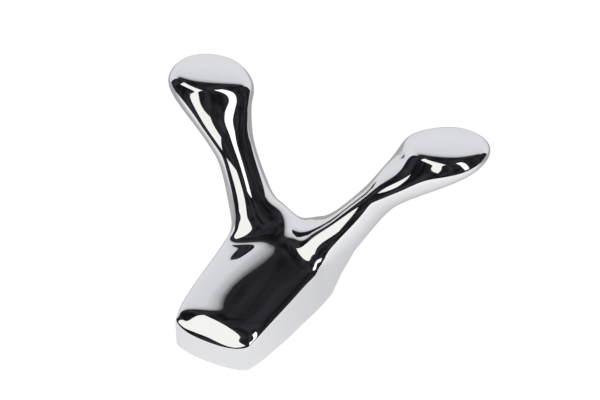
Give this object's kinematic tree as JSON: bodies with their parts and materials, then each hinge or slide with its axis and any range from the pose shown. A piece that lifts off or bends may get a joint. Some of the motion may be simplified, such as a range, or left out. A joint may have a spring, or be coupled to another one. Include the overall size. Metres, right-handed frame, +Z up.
{
  "type": "double robe hook",
  "caption": "One-piece polished chrome wall hook: a small flat-backed base whose arms sweep out and apart into domed heads, for robes and towels.",
  "frame": {"origin": "midway between the two fixing holes, on the flat back of the base", "axes": "+X across the hook, -Y out of the wall, +Z up the wall; the flat back lies on the plane y = 0"},
  "size_m": [0.085, 0.0405, 0.065],
  "materials": {
    "chrome": "bright polished chrome plating on a zinc casting"
  },
  "bodies": {
    "root": {"hook_body": "chrome"}
  },
  "joints": []
}
